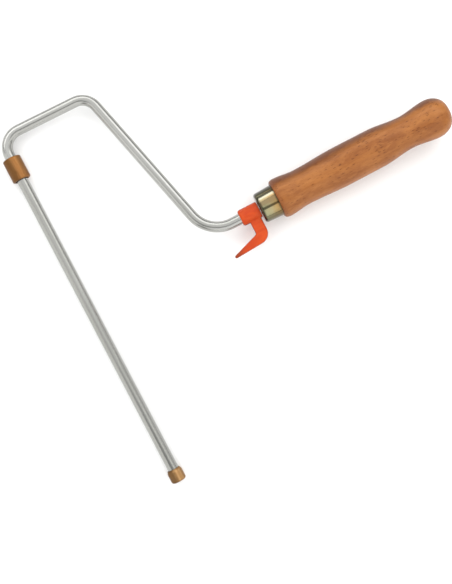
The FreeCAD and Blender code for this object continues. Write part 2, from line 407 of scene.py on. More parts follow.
def rodCentreline():
    # straight runs and bends from the spindle's tip to the start of the coined tang
    s = rodSizes
    low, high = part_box("frame_rod")
    radius = s["diameter"] / 2
    slope = math.atan2(s["crankFall"], s["crankWidth"])
    turn = math.pi / 2 + slope
    crankY = high.y - radius - s["spindleBend"] + s["spindleBend"] * math.tan(turn / 2)
    corners = [
        (Vector((spindleX, crankY, planeZ)), s["spindleBend"]),
        (Vector((spindleX + s["crankWidth"], crankY - s["crankFall"], planeZ)), s["crankBend"]),
        (Vector((spindleX + s["neckStart"], handleY, planeZ)), s["neckBend"]),
    ]
    start = Vector((spindleX, low.y, planeZ))
    end = Vector((high.x - s["tangFlat"] - s["tangPoint"], handleY, planeZ))
    points = [start] + [c for c, r in corners] + [end]
    path = [(start, 0.0)]                                                 # (point, share of bend)
    for i, (corner, r) in enumerate(corners):
        back = (points[i] - corner).normalized()
        ahead = (points[i + 2] - corner).normalized()
        half = back.angle(ahead) / 2
        centre = corner + (back + ahead).normalized() * (r / math.sin(half))
        first = corner + back * (r / math.tan(half)) - centre
        last = corner + ahead * (r / math.tan(half)) - centre
        sweep = first.angle(last)
        normal = first.cross(last).normalized()
        steps = max(12, int(math.degrees(sweep) / s["bendStep"]))
        for k in range(steps + 1):
            share = k / steps
            spot = centre + Matrix.Rotation(sweep * share, 3, normal) @ first
            path.append((spot, math.sin(math.pi * share) ** 0.5))
    path.append((end, 0.0))
    return path


def divideRuns(path, longest):
    # adds points on the straight runs, so that the drawn lines have something to follow
    full = [path[0]]
    for (a, bendA), (b, bendB) in zip(path, path[1:]):
        pieces = max(1, int((b - a).length / longest))
        for k in range(1, pieces + 1):
            t = k / pieces
            full.append((a.lerp(b, t), bendA + (bendB - bendA) * t))
    return full


def makeRod(material):
    s = rodSizes
    radius = s["diameter"] / 2
    path = divideRuns(rodCentreline(), s["longestStep"])
    start = path[0][0]
    marks = []                                                         # (place along the spindle, radius)
    for name in ("tip_bush_ring", "inner_bush_ring_tip_side", "inner_bush_ring_bend_side"):
        low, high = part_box(name)
        front, back = low.y - s["grooveRoom"], high.y + s["grooveRoom"]
        bottom = radius - s["grooveDepth"]
        marks += [(front - s["grooveEdge"], radius), (front, bottom),
                  (back, bottom), (back + s["grooveEdge"], radius)]
    stations = []
    c = s["tipChamfer"]
    direction = Vector((0, 1, 0))
    stations.append((start, direction, radius - c, radius - c, 0.0))
    stations.append((start + direction * c, direction, radius, radius, c))
    spindle = [p for p in path if abs(p[0].x - spindleX) < 1e-9 and p[0].y > start.y + c * 1.5]
    lastSpindle = spindle[-1][0].y
    rows = [(p[0].y, radius) for p in spindle] + [m for m in marks if m[0] < lastSpindle]
    for y, r in sorted(rows):
        stations.append((Vector((spindleX, y, planeZ)), direction, r, r, y - start.y))
    rest = path[path.index(spindle[-1]) + 1:]
    before = spindle[-1][0]
    travelled = before.y - start.y
    for i, (spot, bend) in enumerate(rest):
        ahead = rest[i + 1][0] if i + 1 < len(rest) else spot + (spot - before)
        travelled += (spot - before).length
        direction = ((spot - before).normalized() + (ahead - spot).normalized()).normalized()
        wide = radius * (1 - s["bendOval"] * bend)
        stations.append((spot, direction, wide, radius, travelled))
        before = spot
    direction = Vector((1, 0, 0))
    for step, wide, high in ((s["tangStart"], s["tangSpread"], s["tangSqueeze"]),
                             (s["tangFlat"], s["tangSpread"], s["tangSqueeze"]),
                             (s["tangFlat"] + s["tangPoint"], s["tangTip"], s["tangTip"])):
        spot = before + direction * step
        stations.append((spot, direction, radius * wide, radius * high, travelled + step))
    rod = sweepWire("bentRod", stations)
    sharpEdges(rod, 35)
    finishPiece(rod, "frame", ["frame_rod"], material)


makeRod(platedWire())


# snap rings
ringSizes = {
    "wire": 0.9 * mm,
    "opening": 3.0 * mm,          # between its two ends
    "steps": 72,
    "around": 20,
}

ringLook = {
    "scale": (0.05, 0.05, 0.052),
    "bare": (0.16, 0.155, 0.15),
    "roughness": (0.28, 0.5),
    "patches": (900, 2200, 2200),
    "lines": (40, 6000, 6000),
    "lineDepth": 0.004 * mm,
}

ringNames = {
    "tip_bush_ring": "tipRing",
    "inner_bush_ring_tip_side": "innerRingTipSide",
    "inner_bush_ring_bend_side": "innerRingBendSide",
}


def springWire():
    look = newMaterial("springWire")
    patches = noise(look, wirePlace(look, ringLook["patches"]), 4, 0.6)
    lines = noise(look, wirePlace(look, ringLook["lines"]), 2)
    base = blend(look, fade(look, patches, 0.35, 0.7), ringLook["scale"], ringLook["bare"])
    smoothest, roughest = ringLook["roughness"]
    rough = fade(look, lines, 0.3, 0.7, smoothest, roughest, False)
    drawn = bump(look, lines, ringLook["lineDepth"], 0.4)
    setShader(look, Base_Color=base, Metallic=1.0, Roughness=rough, Normal=drawn)
    return look


def makeRing(node, name, material):
    low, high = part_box(node)
    half = ringSizes["wire"] / 2
    centre = Vector((spindleX, (low.y + high.y) / 2, planeZ))
    outer = max(high.x - spindleX, spindleX - low.x)
    circle = outer - half
    gap = math.asin(ringSizes["opening"] / 2 / circle)
    verts, faces, along = [], [], []
    steps, around = ringSizes["steps"], ringSizes["around"]
    for i in range(steps + 1):
        share = i / steps
        angle = -math.pi / 2 + gap + share * (2 * math.pi - 2 * gap)
        outward = Vector((math.cos(angle), 0, math.sin(angle)))
        fromEnd = min(i, steps - i)
        thick = half * math.sin(math.pi / 2 * min(1, 0.45 + fromEnd * 0.3))      # the two ends are rounded
        for j in range(around):
            b = 2 * math.pi * j / around
            across, aside = thick * math.cos(b), thick * math.sin(b)
            verts.append(centre + outward * (circle + across) + Vector((0, aside, 0)))
            along.append((angle * circle, across, aside))
    for i in range(steps):
        for j in range(around):
            k = (j + 1) % around
            faces.append((i * around + j, (i + 1) * around + j, (i + 1) * around + k, i * around + k))
    faces.append(tuple(range(around)))
    faces.append(tuple(steps * around + j for j in range(around - 1, -1, -1)))
    finishPiece(wirePiece(name, verts, faces, along), "frame", [node], material)


ringWire = springWire()
for ringNode, ringName in ringNames.items():
    makeRing(ringNode, ringName, ringWire)


# bronze bushes
bushSizes = {
    "bore": 4.05 * mm,
    "recess": 4.97 * mm,
    "recessDepth": 2.0 * mm,
    "innerRim": 1.0 * mm,
    "tipEnd": 1.5 * mm,
    "tipRim": 1.6 * mm,
    "mouthLength": 2.0 * mm,
    "mouthDepth": 0.9 * mm,
    "mouthRound": 0.8 * mm,
    "ringFloat": 0.2 * mm,        # room each side of the ring in the tip bush
    "boreEdge": 0.12 * mm,
    "recessEdge": 0.15 * mm,
    "faceEdge": 0.18 * mm,
    "lipEdge": 0.2 * mm,
    "grooveEdge": 0.08 * mm,
    "segments": 112,
}

bushLook = {
    "inner": {"lit": tone(164, 116, 68), "deep": tone(149, 101, 55), "shadeBrown": tone(92, 61, 28),
              "worn": tone(180, 136, 90), "rims": 0.1},
    "tip": {"lit": tone(190, 151, 105), "deep": tone(169, 129, 83), "shadeBrown": tone(85, 57, 26),
            "worn": tone(193, 160, 118), "rims": 0.55},
    "pore": tone(59, 39, 20),
    "roughness": (0.42, 0.56),
    # fineness of each pattern along X, Y and Z; the bushes lie along Y
    "streaks": (700, 45, 700),
    "turning": (40, 4200, 40),
    "cloud": (220, 160, 220),
    "pores": (1900, 1900, 1900),
    "poreGroups": (600, 600, 600),
    "turningDepth": 0.005 * mm,
    "poreDepth": 0.015 * mm,
    # where the bronze is painted darker brown as shade, measured from the spindle's axis, the free edge and
    # the rims
    "sideShadeFrom": -0.5 * mm,
    "sideShadeTo": 3.5 * mm,
    "edgeFrom": 2.0 * mm,
    "edgeTo": 0.4 * mm,
    "rimWidth": 1.8 * mm,
}


def sinteredBronze(name, node, tones, shift):
    look = newMaterial(name)
    b = bushLook
    low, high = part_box(node)
    x, y = split(look, objectPlace(look))[:2]
    streak = noise(look, objectPlace(look, b["streaks"], (shift, 0, 0)), 3, 0.6)   # wiped along the bush
    turning = noise(look, objectPlace(look, b["turning"]), 2, 0.5)                # lathe rings
    cloud = noise(look, objectPlace(look, b["cloud"], (0, shift, 0)), 4, 0.6)
    dots = cells(look, objectPlace(look, b["pores"]))["Distance"]
    gather = fade(look, noise(look, objectPlace(look, b["poreGroups"]), 2), 0.5, 0.62)
    pore = times(look, fade(look, dots, 0.10, 0.26, 1, 0), gather)
    base = blend(look, fade(look, streak, 0.32, 0.66), tones["deep"], tones["lit"])
    base = blend(look, times(look, fade(look, cloud, 0.46, 0.7), 0.4), base, tones["deep"])
    # painted shade: the −X side of each bush turns darker brown
    side = plus(look, x, times(look, cloud, 3 * mm))
    sideShade = fade(look, side, spindleX + b["sideShadeFrom"], spindleX + b["sideShadeTo"], 1, 0)
    base = blend(look, times(look, sideShade, 0.8), base, tones["shadeBrown"])
    # painted shade: a darker brown strip along the +X edge and at both rims
    freeEdge = fade(look, x, high.x - b["edgeFrom"], high.x - b["edgeTo"])
    rims = larger(look, fade(look, y, low.y, low.y + b["rimWidth"], 1, 0),
                  fade(look, y, high.y - b["rimWidth"], high.y))
    darkenedZone = larger(look, times(look, freeEdge, 0.55), times(look, rims, tones["rims"]))
    base = blend(look, darkenedZone, base, tones["shadeBrown"])
    base = blend(look, times(look, fade(look, edgeWear(look), 0.52, 0.60), 0.4), base, tones["worn"])
    base = blend(look, times(look, pore, 0.7), base, b["pore"])
    smoothest, roughest = b["roughness"]
    rough = plus(look, fade(look, streak, 0.3, 0.7, roughest, smoothest, False), times(look, pore, 0.25))
    lathed = bump(look, turning, b["turningDepth"], 0.35)
    pits = bump(look, minus(look, cloud, pore), b["poreDepth"], 0.3, lathed)
    setShader(look, Base_Color=base, Metallic=0.85, Roughness=rough, Normal=pits)
    return look


def makeInnerBush(material):
    s = bushSizes
    low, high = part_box("inner_bush")
    r = (high.x - low.x) / 2
    corners = [
        (low.y + s["recessDepth"], s["bore"], s["boreEdge"]),
        (low.y + s["recessDepth"], s["recess"], s["recessEdge"]),
        (low.y, s["recess"], s["faceEdge"]),
        (low.y, r, s["innerRim"]),
        (high.y, r, s["innerRim"]),
        (high.y, s["recess"], s["faceEdge"]),
        (high.y - s["recessDepth"], s["recess"], s["recessEdge"]),
        (high.y - s["recessDepth"], s["bore"], s["boreEdge"]),
    ]
    axis = Vector((spindleX, 0, planeZ))
    bush = latheRound("innerBush", softCorners(corners), "Y", axis, s["segments"])
    sharpEdges(bush)
    finishPiece(bush, "bend_side_bush", ["inner_bush"], material)


def makeTipBush(material):
    s = bushSizes
    low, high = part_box("tip_bush")
    ringLow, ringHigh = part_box("tip_bush_ring")
    r = (high.x - low.x) / 2
    corners = [
        (low.y, 0.0, 0),
        (low.y, r, s["tipRim"]),
        (high.y - s["mouthLength"], r, s["mouthRound"]),
        (high.y, r - s["mouthDepth"], s["lipEdge"]),
        (high.y, s["bore"], s["boreEdge"]),
        (ringHigh.y + s["ringFloat"], s["bore"], s["grooveEdge"]),
        (ringHigh.y + s["ringFloat"], s["recess"], s["grooveEdge"]),
        (ringLow.y - s["ringFloat"], s["recess"], s["grooveEdge"]),
        (ringLow.y - s["ringFloat"], s["bore"], s["grooveEdge"]),
        (low.y + s["tipEnd"], s["bore"], s["recessEdge"]),
        (low.y + s["tipEnd"], 0.0, 0),
    ]
    axis = Vector((spindleX, 0, planeZ))
    bush = latheRound("tipBush", softCorners(corners), "Y", axis, s["segments"])
    sharpEdges(bush)
    finishPiece(bush, "end_bush", ["tip_bush"], material)


makeInnerBush(sinteredBronze("innerBronze", "inner_bush", bushLook["inner"], 3.1))
makeTipBush(sinteredBronze("tipBronze", "tip_bush", bushLook["tip"], 7.7))


# bucket hook
hookSizes = {
    "collar": 6.1 * mm,
    "collarLength": 15.0 * mm,
    "bore": 4.05 * mm,
    "frontRound": 1.8 * mm,
    "backRound": 0.5 * mm,
    "thickness": 5.2 * mm,
    "stem": 8.6 * mm,
    "setback": 1.4 * mm,
    "drop": 22.9 * mm,
    "beakRoot": 7.8 * mm,
    "beakTip": 2.1 * mm,
    "beakFall": 1.3 * mm,
    "heel": 8.0 * mm,
    "throat": 1.6 * mm,
    "tipRound": 0.49,             # as a share of the beak's height at its tip
    "edge": 1.0 * mm,
    "edgeSteps": 6,
    "intoCollar": 1.0 * mm,       # the stem starts this far under the rod's axis
    "voxel": 0.19 * mm,
    "boreReach": 0.25 * mm,       # points this near the bore are put on it,
    "boreEnds": 0.2 * mm,         # but not this near its two ends
}

hookLook = {
    "orange": tone(190, 69, 17),
    "deep": tone(177, 57, 13),
    "pale": tone(197, 90, 35),
    "grimeAndShade": tone(112, 44, 18),
    "roughness": (0.46, 0.58),
    # fineness of each pattern along X, Y and Z
    "flow": (60, 140, 140),
    "mouldFace": (2200, 2200, 2200),
    "scuffs": (260, 1700, 1700),
    "seamDepth": 0.06 * mm,
    "faceDepth": 0.01 * mm,
    "seam": (0.03 * mm, 0.11 * mm),         # half width of the parting line, sharp and faded out
    "shadedEdges": (2.0 * mm, 2.75 * mm),   # painted shade, out from the middle plane
    "soiledTip": (3.0 * mm, 13.0 * mm),     # back from the beak's tip
    "underSkin": (1.0 * mm, 0.3 * mm, 0.1 * mm),
}


def mouldedOrange():
    look = newMaterial("mouldedOrange")
    h = hookLook
    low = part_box("bucket_hook")[0]
    place = split(look, objectPlace(look))
    x, z = place[0], place[2]
    flow = noise(look, objectPlace(look, h["flow"]), 4, 0.55, 0.8)                 # where the melt ran
    fine = noise(look, objectPlace(look, h["mouldFace"]), 3, 0.6)                  # spark-eroded mould face
    scuff = noise(look, objectPlace(look, h["scuffs"]), 2, 0.5)
    base = blend(look, fade(look, flow, 0.35, 0.68), h["orange"], h["deep"])
    base = blend(look, times(look, fade(look, scuff, 0.6, 0.75), 0.2), base, h["pale"])
    base = blend(look, times(look, fade(look, edgeWear(look), 0.53, 0.62), 0.2), base, h["pale"])
    fromPlane = workOut(look, "ABSOLUTE", minus(look, z, planeZ))
    # painted shade: darker red-brown along the edges near the middle plane
    edges = fade(look, plus(look, fromPlane, times(look, flow, 0.4 * mm)), *h["shadedEdges"], 1, 0)
    nearTip, farTip = h["soiledTip"]
    fromTip = plus(look, x, times(look, flow, 3 * mm))
    darkenedZone = fade(look, fromTip, low.x + nearTip, low.x + farTip, 1, 0)
    base = blend(look, times(look, edges, 0.8), base, h["grimeAndShade"])
    base = blend(look, times(look, darkenedZone, 0.7), base, h["grimeAndShade"])
    seam = fade(look, fromPlane, *h["seam"], 1, 0)                                 # mould parting line
    smoothest, roughest = h["roughness"]
    rough = fade(look, fine, 0.3, 0.7, smoothest, roughest, False)
    rough = plus(look, rough, times(look, seam, 0.1))
    skin = bump(look, seam, h["seamDepth"], 0.8, bump(look, fine, h["faceDepth"], 0.3))
    setShader(look, Base_Color=base, Roughness=rough, Normal=skin, Specular_IOR_Level=0.22,
              Subsurface_Weight=0.06, Subsurface_Radius=h["underSkin"], Subsurface_Scale=1.0)
    return look


def hookBlade():
    # side view of the flat stem and beak
    s = hookSizes
    low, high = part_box("bucket_hook")
    back = high.x - s["setback"]
    front = back - s["stem"]
    top = handleY - s["intoCollar"]
    bottom = handleY - s["drop"]
    tipLow = bottom - s["beakFall"]
    tipRound = s["beakTip"] * s["tipRound"]
    return softCorners([
        (front, top, 0),
        (front, bottom + s["beakRoot"], s["throat"]),
        (low.x, tipLow + s["beakTip"], tipRound),
        (low.x, tipLow, tipRound),
        (back - s["heel"], bottom, 0),
        (back, bottom, s["heel"]),
        (back, top, 0),
    ], 10)


def insetOutline(outline, distance):
    # the same outline with every point moved sideways
    moved = []
    count = len(outline)
    for i, point in enumerate(outline):
        a = point - outline[i - 1]
        b = outline[(i + 1) % count] - point
        a = a.normalized() if a.length > 1e-9 else b.normalized()
        b = b.normalized() if b.length > 1e-9 else a
        along = (a + b).normalized()
        moved.append(point + Vector((-along.y, along.x)) * distance)
    return moved


def bladeSolid():
    # the outline stacked with drawn-in copies, which round its edges
    s = hookSizes
    outline = hookBlade()
    count = len(outline)
    area = sum(p.x * q.y - q.x * p.y for p, q in zip(outline, outline[1:] + outline[:1]))
    inward = 1 if area > 0 else -1
    layers = []
    for k in range(s["edgeSteps"] + 1):
        a = math.pi / 2 * k / s["edgeSteps"]
        layers.append((s["edge"] * (1 - math.sin(a)), s["edge"] * (1 - math.cos(a)) - s["thickness"] / 2))
    layers += [(inset, -z) for inset, z in reversed(layers)]
    verts, faces = [], []
    for inset, z in layers:
        for p in insetOutline(outline, inset * inward):
            verts.append((p.x, p.y, planeZ + z))
    for i in range(len(layers) - 1):
        for j in range(count):
            k = (j + 1) % count
            faces.append((i * count + j, i * count + k, (i + 1) * count + k, (i + 1) * count + j))
    faces.append(tuple(range(count - 1, -1, -1)))
    faces.append(tuple((len(layers) - 1) * count + j for j in range(count)))
    return newPiece("bucketHook", verts, faces)


def meltTogether(hook, collar, drill):
    # joined, bored, and softened where the shapes meet, as one moulding
    for tool, kind in ((collar, "UNION"), (drill, "DIFFERENCE")):
        cut = hook.modifiers.new(kind.lower(), "BOOLEAN")
        cut.operation = kind
        cut.solver = "EXACT"
        cut.object = tool
    grid = hook.modifiers.new("remesh", "REMESH")
    grid.mode = "VOXEL"
    grid.voxel_size = hookSizes["voxel"]
    grid.use_smooth_shade = True
    soft = hook.modifiers.new("soften", "SMOOTH")
    soft.factor = 0.5
    soft.iterations = 8
    bpy.context.view_layer.update()
    evaluated = hook.evaluated_get(bpy.context.evaluated_depsgraph_get())
    mesh = bpy.data.meshes.new_from_object(evaluated)
    mesh.name = "bucketHook"
    hook.modifiers.clear()
    hook.data = mesh
    for tool in (collar, drill):
        bpy.data.objects.remove(tool)


def makeHook(material):
    s = hookSizes
    low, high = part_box("bucket_hook")
    start = high.x - s["collarLength"]
    past = 1 * mm                                                          # the drill goes right through
    hook = bladeSolid()
    rounds = softCorners([(start, 0, 0), (start, s["collar"], s["frontRound"]),
                          (high.x, s["collar"], s["backRound"]), (high.x, 0, 0)], 8)
    bore = [(start - past, 0), (start - past, s["bore"]), (high.x + past, s["bore"]), (high.x + past, 0)]
    axis = Vector((0, handleY, planeZ))
    collar = latheRound("collarBlank", rounds, "X", axis)
    drill = latheRound("drillBlank", bore, "X", axis)
    meltTogether(hook, collar, drill)
    # a true bore, and nothing past the two ends
    for vert in hook.data.vertices:
        across = Vector((vert.co.y - handleY, vert.co.z - planeZ))
        inside = start + s["boreEnds"] < vert.co.x < high.x - s["boreEnds"]
        if inside and across.length < s["bore"] + s["boreReach"]:
            across = across.normalized() * s["bore"]
            vert.co.y, vert.co.z = handleY + across.x, planeZ + across.y
        vert.co.x = min(max(vert.co.x, low.x), high.x)
    finishPiece(hook, "hook", ["bucket_hook"], material)


makeHook(mouldedOrange())


# ferrule
ferruleSizes = {
    "front": 11.3 * mm,
    "back": 11.9 * mm,
    "wall": 0.8 * mm,
    "rim": 2.2 * mm,
    "hole": 4.2 * mm,
    "holeEdge": 0.15 * mm,
    "mouthEdge": 0.2 * mm,
    "segments": 144,
}

ferruleLook = {
    "rose": tone(146, 124, 106),
    "green": tone(141, 140, 107),
    "straw": tone(152, 141, 105),
    "gold": tone(154, 128, 81),
    "amber": tone(144, 108, 63),
    "tan": tone(140, 116, 84),
    "pale": tone(172, 168, 148),
    "stain": tone(108, 97, 66),
    "shadeOlive": tone(50, 45, 28),
    "roughness": (0.07, 0.12),
    # fineness of each pattern along X, Y and Z
    "drift": (90, 110, 110),
    "lines": (2600, 60, 60),
    "cloud": (300, 300, 300),
    # two bands of painted reflection, measured towards +Y from the rod's axis: start, full, still full, end
    "reflectionBand": (-1.0 * mm, 1.0 * mm, 4.0 * mm, 5.5 * mm),
    "paleHighlightBand": (4.4 * mm, 5.4 * mm, 7.0 * mm, 8.0 * mm),
    # the painted shade, from one strength to the other
    "frontRimShade": (0.4 * mm, 2.2 * mm),      # from the front rim
    "rearGapShadow": (-1.2 * mm, 0.3 * mm),      # from the rear edge
    "farSideShade": (8.0 * mm, 9.4 * mm),        # from the rod's axis
    "nearSideShade": (-11.4 * mm, -6.5 * mm),
    "uneven": 1.2 * mm,
    "dentDepth": 0.015 * mm,
    "lineDepth": 0.001 * mm,
}


def yellowZinc():
    look = newMaterial("yellowZinc")
    f = ferruleLook
    low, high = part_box("ferrule")
    x, y = split(look, objectPlace(look))[:2]

    def fromAxis(marks):
        return [handleY + mark for mark in marks]

    along = fade(look, x, low.x, high.x, 0, 1, False)
    drift = noise(look, objectPlace(look, f["drift"]), 3, 0.5, 0.6)    # the rainbow of the passivate
    tint = plus(look, times(look, along, 0.60), times(look, drift, 0.44))
    base = ramp(look, tint, [(0.10, f["rose"]), (0.30, f["green"]), (0.52, f["straw"]),
                             (0.74, f["gold"]), (0.95, f["amber"])])
    lines = noise(look, objectPlace(look, f["lines"]), 2, 0.5)         # rings from polishing
    cloud = noise(look, objectPlace(look, f["cloud"]), 4, 0.6)
    base = blend(look, times(look, fade(look, cloud, 0.5, 0.75), 0.3), base, f["stain"])
    # painted reflection: a tan band, then a pale highlight band, across the ferrule
    tintedZone = band(look, y, *fromAxis(f["reflectionBand"]))
    base = blend(look, times(look, tintedZone, 0.6), base, f["tan"])
    paleHighlight = band(look, y, *fromAxis(f["paleHighlightBand"]))
    base = blend(look, times(look, paleHighlight, 0.75), base, f["pale"])
    # painted shade lies dark on both rims, as a painted dark reflection on the front rim and a painted
    # shadow at the rear edge, and along the two sides
    uneven = times(look, drift, f["uneven"])
    rimStart, rimEnd = f["frontRimShade"]
    front = fade(look, minus(look, x, uneven), low.x + rimStart, low.x + rimEnd, 1, 0)
    rearStart, rearEnd = f["rearGapShadow"]
    rear = fade(look, plus(look, x, uneven), high.x + rearStart, high.x + rearEnd)
    farSide = fade(look, plus(look, y, uneven), *fromAxis(f["farSideShade"]))
    nearSide = fade(look, minus(look, y, uneven), *fromAxis(f["nearSideShade"]), 1, 0)
    shadeOlive = larger(look, larger(look, times(look, front, 0.9), times(look, rear, 0.7)),
                  larger(look, times(look, farSide, 0.95), times(look, nearSide, 0.7)))
    base = blend(look, shadeOlive, base, f["shadeOlive"])
    smoothest, roughest = f["roughness"]
    rough = fade(look, cloud, 0.3, 0.7, smoothest, roughest, False)
    rough = plus(look, rough, times(look, lines, 0.03))
    dents = bump(look, cloud, f["dentDepth"], 0.12, bump(look, lines, f["lineDepth"], 0.15))
    setShader(look, Base_Color=base, Metallic=1.0, Roughness=rough, Normal=dents,
              Coat_Weight=0.25, Coat_Roughness=0.06, Coat_IOR=1.45)
    return look


def makeFerrule(material):
    s = ferruleSizes
    low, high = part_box("ferrule")
    w = s["wall"]
    corners = [
        (low.x, s["hole"], s["holeEdge"]),
        (low.x, s["front"], s["rim"]),
        (high.x, s["back"], s["mouthEdge"]),
        (high.x, s["back"] - w, s["mouthEdge"]),
        (low.x + w, s["front"] - w, s["rim"] - w),
        (low.x + w, s["hole"], s["holeEdge"]),
    ]
    axis = Vector((0, handleY, planeZ))
    ferrule = latheRound("drawnFerrule", softCorners(corners, 8), "X", axis, s["segments"])
    sharpEdges(ferrule)
    finishPiece(ferrule, "frame", ["ferrule"], material)


makeFerrule(yellowZinc())


# turned handle
handleSizes = {
    "length": 139.4 * mm,                # shoulder to butt
    # millimetres back from the shoulder's face, and the radius there
    "stations": [(0.0, 13.2), (4.4, 14.89), (20.0, 13.45), (52.55, 14.7), (79.32, 14.55), (105.0, 12.25),
                 (126.0, 14.55)],
    "buttFlat": 6.0 * mm,
    "buttCrown": 0.9 * mm,
    # which way, and how strongly, the profile leaves or arrives where it isn't level, in millimetres
    "leaveShoulder": (1.6, 4.2),
    "reachShoulder": (5.4, 0),
    "knobPull": 1.62,                    # as a share of the way from the knob to the butt's rim
    "reachRim": (1.9, -13.5),
    "leaveRim": (1.1, -6.4),
    "reachPole": (0, -6.0),
    "steps": {"shoulder": 14, "body": 28, "knob": 30, "butt": 12},
    "tenon": 11.05 * mm,
    "tenonGap": 0.1 * mm,
    "tenonChamfer": (1.6 * mm, 0.6 * mm),
    "outOfRound": 0.0012,
    "twist": 40,                         # how fast the oval turns along the handle
    "segments": 160,
}

woodLook = {
    "light": tone(164, 105, 54),
    "middle": tone(147, 89, 41),
    "dark": tone(118, 64, 29),
    "farEdgeShade": tone(92, 49, 23),
    "fleck": tone(76, 36, 16),
    "ringPitch": 3.8 * mm,
    "roughness": (0.42, 0.52),
    # the middle of the tree, measured from the handle's axis, and how much its rings wander
    "treeAside": 34 * mm,
    "treeBelow": 26 * mm,
    "ringSway": 16 * mm,
    "ringRipple": 0.8 * mm,
    # painted shade, dark brown along the +Y side
    "farEdgeShadeFrom": 13.0 * mm,
    "farEdgeShadeTo": 19.5 * mm,
    "farEdgeShadeSway": 10 * mm,
    "farEdgeShadeSilk": 5 * mm,
    # fineness of each pattern: along the grain, then across it twice
    "sway": (9, 26, 26),
    "ripple": (40, 300, 300),
    "tall": (26, 150, 150),
    "broad": (34, 70, 70),
    "silk": (90, 320, 320),
    "crowd": (34, 110, 110),
    "rays": (210, 1150, 1150),
    "dashes": (330, 2000, 2000),
    "pores": (200, 3600, 3600),
    "turning": (1600, 30, 30),
    "shoulderDarker": 5 * mm,
    "buttStain": 4.5 * mm,
    "grainDepth": 0.04 * mm,
    "varnishDepth": 0.015 * mm,
}


def growthRings(look, sway):
    # rings about a heart far to one side, so the turned curves cut them into long tongues
    w = woodLook
    y, z = split(look, objectPlace(look))[1:]
    ripple = noise(look, objectPlace(look, w["ripple"]), 3, 0.5)
    across = minus(look, y, handleY + w["treeAside"])
    down = minus(look, z, planeZ - w["treeBelow"])
    radius = workOut(look, "SQRT", plus(look, times(look, across, across), times(look, down, down)))
    radius = plus(look, radius, times(look, sway, w["ringSway"]))
    radius = plus(look, radius, times(look, ripple, w["ringRipple"]))
    rings = workOut(look, "FRACT", workOut(look, "DIVIDE", radius, w["ringPitch"]))
    return band(look, rings, 0.30, 0.92, 0.93, 1.0)


def varnishedBeech():
    look = newMaterial("varnishedBeech")
    w = woodLook
    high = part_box("handle")[1]
    x, y = split(look, objectPlace(look))[:2]
    sway = noise(look, objectPlace(look, w["sway"]), 3, 0.5)
    late = growthRings(look, sway)
    # streaks of colour down the grain, and painted shade along the +Y side
    tall = noise(look, objectPlace(look, w["tall"]), 4, 0.6, 0.5)
    broad = noise(look, objectPlace(look, w["broad"], (0.3, 0.2, 0.9)), 4, 0.6)
    silk = noise(look, objectPlace(look, w["silk"], (0.8, 0.5, 0.2)), 4, 0.65, 0.6)
    base = blend(look, fade(look, tall, 0.34, 0.66), w["middle"], w["light"])
    base = blend(look, times(look, late, 0.14), base, w["dark"])
    base = blend(look, times(look, fade(look, broad, 0.44, 0.68), 0.5), base, w["dark"])
    base = blend(look, times(look, fade(look, silk, 0.5, 0.66), 0.5), base, w["light"])
    # painted shade: the +Y side of the handle darker brown, broken into patches
    patchy = plus(look, times(look, sway, w["farEdgeShadeSway"]), times(look, silk, w["farEdgeShadeSilk"]))
    farEdgeShade = fade(look, plus(look, y, patchy), handleY + w["farEdgeShadeFrom"], handleY + w["farEdgeShadeTo"])
    base = blend(look, times(look, farEdgeShade, 0.9), base, w["farEdgeShade"])
    # short dark rays, thin and pointed, thick in some places and rare in others, and hair-fine pores
    crowd = noise(look, objectPlace(look, w["crowd"], (0.6, 0.1, 0.4)), 2, 0.5)
    rays = cells(look, objectPlace(look, w["rays"]))
    chosen = plus(look, split(look, rays["Color"])[0], times(look, crowd, 1.8))
    ray = times(look, fade(look, rays["Distance"], 0.12, 0.38, 1, 0), fade(look, chosen, 1.5, 1.64))
    dashes = cells(look, objectPlace(look, w["dashes"], (0.4, 0.7, 0.1)))
    chosen = plus(look, split(look, dashes["Color"])[1], times(look, crowd, 1.4))
    dash = times(look, fade(look, dashes["Distance"], 0.12, 0.36, 1, 0), fade(look, chosen, 1.16, 1.32))
    pore = fade(look, noise(look, objectPlace(look, w["pores"]), 2, 0.6), 0.52, 0.72)
    base = blend(look, times(look, ray, 0.72), base, w["fleck"])
    base = blend(look, times(look, dash, 0.36), base, w["fleck"])
    base = blend(look, times(look, pore, 0.2), base, w["fleck"])
    # darker at the shoulder, next to the ferrule, and stain gathered at the butt, where end grain drinks it
    shoulder = high.x - handleSizes["length"]
    ends = larger(look, fade(look, x, shoulder, shoulder + w["shoulderDarker"], 1, 0),
                  fade(look, x, high.x - w["buttStain"], high.x, 0, 1))
    base = blend(look, times(look, ends, 0.5), base, w["dark"])
    smoothest, roughest = w["roughness"]
    rough = fade(look, tall, 0.3, 0.7, smoothest, roughest, False)
    rough = plus(look, rough, times(look, ray, 0.12))
    turning = noise(look, objectPlace(look, w["turning"]), 2, 0.5)     # faint rings from the lathe
    marks = plus(look, times(look, ray, 0.8), plus(look, times(look, dash, 0.4), times(look, pore, 0.25)))
    grain = minus(look, times(look, turning, 0.2), marks)
    setShader(look, Base_Color=base, Roughness=rough, Normal=bump(look, grain, w["grainDepth"], 0.4),
              Specular_IOR_Level=0.12, Coat_Weight=0.24, Coat_Roughness=0.24, Coat_IOR=1.45,
              Coat_Normal=bump(look, grain, w["varnishDepth"], 0.25))
    return look


def curveBetween(a, b, slopeA, slopeB, steps):
    # a smooth piece of profile that leaves a along slopeA and arrives at b along slopeB
    points = []
    for k in range(steps):
        t = k / steps
        h = (2 * t**3 - 3 * t**2 + 1, t**3 - 2 * t**2 + t, -2 * t**3 + 3 * t**2, t**3 - t**2)
        points.append(a * h[0] + slopeA * h[1] + b * h[2] + slopeB * h[3])
    return points


